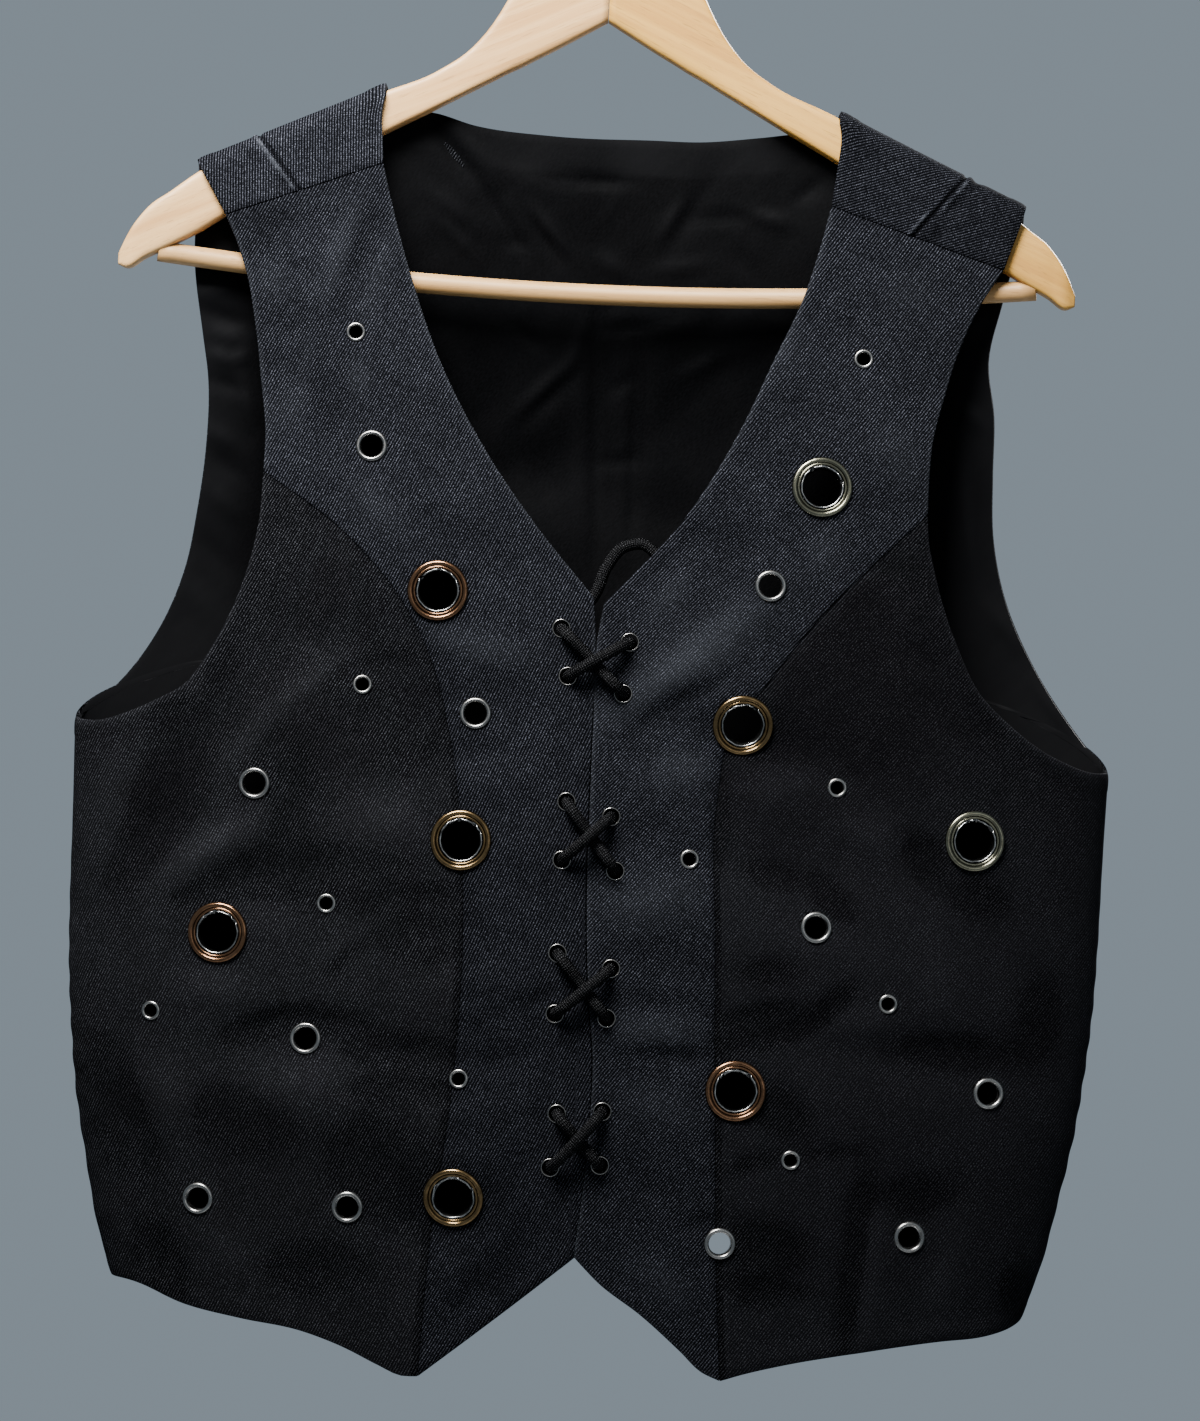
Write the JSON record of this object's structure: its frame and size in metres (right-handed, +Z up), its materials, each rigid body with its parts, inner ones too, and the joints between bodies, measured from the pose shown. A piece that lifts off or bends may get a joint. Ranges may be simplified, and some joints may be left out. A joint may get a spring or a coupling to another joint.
{
  "type": "denim waistcoat on wooden hanger",
  "caption": "Sleeveless denim waistcoat with a V neck, metal eyelets and a crossed lace down the front, hanging on a curved wooden coat hanger with a trouser bar and a wire hook.",
  "frame": {"origin": "top of the inside of the hook's bend, where it rests on a rail", "axes": "+X to the wearer's left, seen at the right of the front view; +Y to the back of the garment; +Z up"},
  "size_m": [0.4867, 0.0891, 0.7548],
  "materials": {
    "denim_blue": "washed blue-charcoal denim twill",
    "denim_dark": "dark charcoal denim twill",
    "lining": "plain near-black lining with a slight sheen",
    "wood": "pale lacquered beech",
    "steel": "bright plated steel wire",
    "nickel": "satin nickel-plated eyelet",
    "brass": "antique brass-plated eyelet",
    "copper": "antique copper-plated eyelet",
    "cord": "black braided round cord with pale flecks"
  },
  "bodies": {
    "root": {"front_centre_left": "denim_blue", "front_centre_right": "denim_blue", "front_side_left": "denim_dark", "front_side_right": "denim_dark", "yoke_left": "denim_blue", "yoke_right": "denim_blue", "back_panel": "denim_dark", "back_lining": "lining", "eyelet_large_1": "copper", "eyelet_large_2": "brass", "eyelet_large_3": "copper", "eyelet_large_4": "brass", "eyelet_large_5": "nickel", "eyelet_large_6": "brass", "eyelet_large_7": "nickel", "eyelet_large_8": "copper", "eyelet_medium_1": "nickel", "eyelet_medium_2": "nickel", "eyelet_medium_3": "nickel", "eyelet_medium_4": "nickel", "eyelet_medium_5": "nickel", "eyelet_medium_6": "nickel", "eyelet_medium_7": "nickel", "eyelet_medium_8": "nickel", "eyelet_medium_9": "nickel", "eyelet_medium_10": "nickel", "eyelet_medium_11": "nickel", "eyelet_small_1": "nickel", "eyelet_small_2": "nickel", "eyelet_small_3": "nickel", "eyelet_small_4": "nickel", "eyelet_small_5": "nickel", "eyelet_small_6": "nickel", "eyelet_small_7": "nickel", "eyelet_small_8": "nickel", "eyelet_small_9": "nickel", "eyelet_small_10": "nickel", "lace_eyelet_1": "nickel", "lace_eyelet_2": "nickel", "lace_eyelet_3": "nickel", "lace_eyelet_4": "nickel", "lace_eyelet_5": "nickel", "lace_eyelet_6": "nickel", "lace_eyelet_7": "nickel", "lace_eyelet_8": "nickel", "lace_eyelet_9": "nickel", "lace_eyelet_10": "nickel", "lace_eyelet_11": "nickel", "lace_eyelet_12": "nickel", "lace_eyelet_13": "nickel", "lace_eyelet_14": "nickel", "lace_eyelet_15": "nickel", "lace_eyelet_16": "nickel", "lace": "cord", "hanger_arm_left": "wood", "hanger_arm_right": "wood", "hanger_bar": "wood", "hanger_hook": "steel"}
  },
  "joints": []
}
